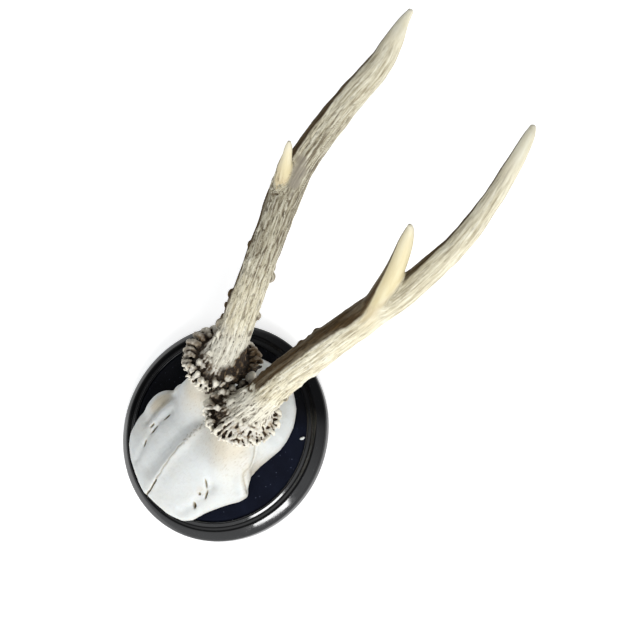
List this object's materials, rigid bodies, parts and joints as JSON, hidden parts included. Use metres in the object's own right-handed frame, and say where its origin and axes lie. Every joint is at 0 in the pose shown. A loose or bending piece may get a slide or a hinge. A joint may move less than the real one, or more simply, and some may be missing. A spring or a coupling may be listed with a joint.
{
  "type": "roebuck antler trophy on a round plaque",
  "caption": "Roebuck antlers with burrs and front tines on a bleached skull cap, screwed to a round black turned wall plaque with a recessed dark felt panel.",
  "frame": {"origin": "centre of the plaque's flat back face, which the part rests on", "axes": "+Z out of the face of the plaque (up as the part lies), +Y towards the antler tips (up when it hangs on a wall), +X to the viewer's right"},
  "size_m": [0.12, 0.2586, 0.1409],
  "materials": {
    "plaque_wood": "gloss",
    "felt": "matte",
    "bone": "satin",
    "antler": "matte",
    "steel": "satin"
  },
  "bodies": {
    "root": {"plaque": "plaque_wood", "felt_panel": "felt", "skull_cap": "bone", "left_antler": "antler", "left_front_tine": "antler", "right_antler": "antler", "right_front_tine": "antler", "skull_screw_left": "steel", "skull_screw_right": "steel", "hanger_plate": "steel", "hanger_screw_left": "steel", "hanger_screw_right": "steel"}
  },
  "joints": []
}
